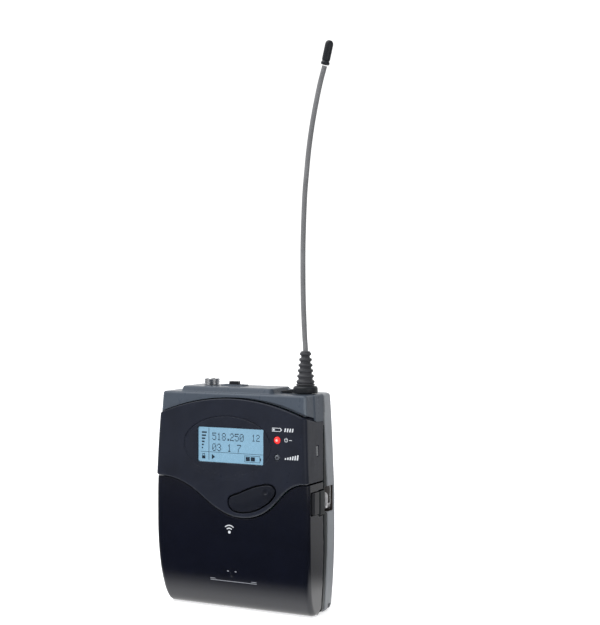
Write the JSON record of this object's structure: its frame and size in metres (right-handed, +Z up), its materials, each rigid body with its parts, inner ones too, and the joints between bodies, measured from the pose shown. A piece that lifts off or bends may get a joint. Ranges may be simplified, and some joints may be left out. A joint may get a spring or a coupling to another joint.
{
  "type": "wireless bodypack transmitter",
  "caption": "Pocket-sized belt-worn radio transmitter with display, power button, hinged battery cover, sprung wire belt clip, threaded jack and flexible whip antenna.",
  "frame": {"origin": "middle of the flat under the case, on the chassis's centre foot", "axes": "+Z up along the case and the antenna, -Y out of the display face, +X towards the antenna's side of the top"},
  "size_m": [0.0683, 0.0322, 0.2078],
  "materials": {
    "top_paint": "satin grey enamel with a fine spatter texture",
    "panel_plastic": "dark blue-grey moulded plastic, fine spark-eroded grain",
    "cover_plastic": "darker blue-black moulded plastic, fine grain",
    "catch_plastic": "grey moulded plastic",
    "rear_plastic": "mid grey moulded plastic, fine grain",
    "frame_plastic": "grey moulded plastic",
    "window_clear": "clear polished",
    "ir_clear": "smoked translucent",
    "rubber": "matt black",
    "lcd": null,
    "black_plastic": "black glass-filled",
    "diffuser": "milky white",
    "circuit_board": "green solder mask",
    "led_red": "lit red lens",
    "led_grey": "unlit grey lens",
    "button_plastic": "satin dark",
    "key_plastic": "satin grey",
    "slider_plastic": "satin black, ribbed",
    "spring_steel": "bright",
    "clip_chrome": "nickel plated spring wire",
    "plate_aluminium": "blank brushed plate",
    "contact_nickel": "nickel plated",
    "cell_sleeve": "plain shrink sleeve, bare metal ends",
    "jack_chrome": "threaded, polished",
    "whip_sleeve": "satin black flexible sleeve"
  },
  "bodies": {
    "case": {"top_housing": "top_paint", "display_panel": "panel_plastic", "ir_window": "ir_clear", "window_lens": "window_clear", "window_gasket": "rubber", "lcd_glass": "lcd", "lcd_frame": "black_plastic", "backlight_diffuser": "diffuser", "display_board": "circuit_board", "led_power": "led_red", "led_peak": "led_grey", "power_switch": "black_plastic", "chassis": "frame_plastic", "cover_hinge_pin": "spring_steel", "rear_shell": "rear_plastic", "type_plate": "plate_aluminium", "rear_screw_1": "spring_steel", "rear_screw_2": "spring_steel", "rear_screw_3": "spring_steel", "rear_screw_4": "spring_steel", "charge_contact_left": "contact_nickel", "charge_contact_right": "contact_nickel", "battery_tray": "black_plastic", "key_board": "circuit_board", "cell_upper": "cell_sleeve", "cell_lower": "cell_sleeve", "contact_spring_upper": "contact_nickel", "contact_spring_lower": "contact_nickel", "contact_plate_upper": "contact_nickel", "contact_plate_lower": "contact_nickel", "main_board": "circuit_board", "rf_shield": "contact_nickel", "jack_collar": "jack_chrome", "jack_body": "black_plastic", "mute_switch_body": "black_plastic", "antenna_base": "black_plastic", "antenna_boot": "rubber", "antenna_whip": "whip_sleeve", "antenna_cap": "rubber", "antenna_nut": "contact_nickel", "antenna_contact": "contact_nickel"},
    "battery_cover": {"battery_cover": "cover_plastic", "catch_spring_left": "spring_steel", "catch_spring_right": "spring_steel"},
    "catch_left": {"catch_left": "catch_plastic"},
    "catch_right": {"catch_right": "catch_plastic"},
    "power_button": {"power_button": "button_plastic"},
    "mute_slider": {"mute_slider": "slider_plastic"},
    "belt_clip": {"belt_clip": "clip_chrome"},
    "set_key": {"set_key": "key_plastic"},
    "rocker_key": {"rocker_key": "key_plastic"}
  },
  "joints": [
    {"name": "cover_hinge", "type": "hinge", "parent": "case", "child": "battery_cover", "pos_m": [0, -0.00085, 0.00185], "axis": [1, 0, 0], "range_deg": [0, 100]},
    {"name": "catch_left_press", "type": "slide", "parent": "battery_cover", "child": "catch_left", "axis": [1, 0, 0], "range_m": [0, 0.0011], "stiffness_N_per_m": 600, "springref_m": -0.0004},
    {"name": "catch_right_press", "type": "slide", "parent": "battery_cover", "child": "catch_right", "axis": [-1, 0, 0], "range_m": [0, 0.0011], "stiffness_N_per_m": 600, "springref_m": -0.0004},
    {"name": "power_button_press", "type": "slide", "parent": "case", "child": "power_button", "axis": [0, 1, 0], "range_m": [0, 0.0006], "stiffness_N_per_m": 1500, "springref_m": -0.0002},
    {"name": "mute_slide", "type": "slide", "parent": "case", "child": "mute_slider", "axis": [1, 0, 0], "range_m": [-0.0019, 0.0019]},
    {"name": "clip_swing", "type": "hinge", "parent": "case", "child": "belt_clip", "pos_m": [0, 0.0033, 0.0434], "axis": [1, 0, 0], "range_deg": [0, 25], "stiffness_Nm_per_rad": 0.35, "springref_deg": -5.73},
    {"name": "set_key_press", "type": "slide", "parent": "case", "child": "set_key", "axis": [0, 1, 0], "range_m": [0, 0.0004], "stiffness_N_per_m": 800, "springref_m": -0.0002},
    {"name": "rocker_key_tilt", "type": "hinge", "parent": "case", "child": "rocker_key", "pos_m": [-0.0163, -0.0072, 0.039], "axis": [1, 0, 0], "range_deg": [-5, 5], "stiffness_Nm_per_rad": 0.01}
  ]
}
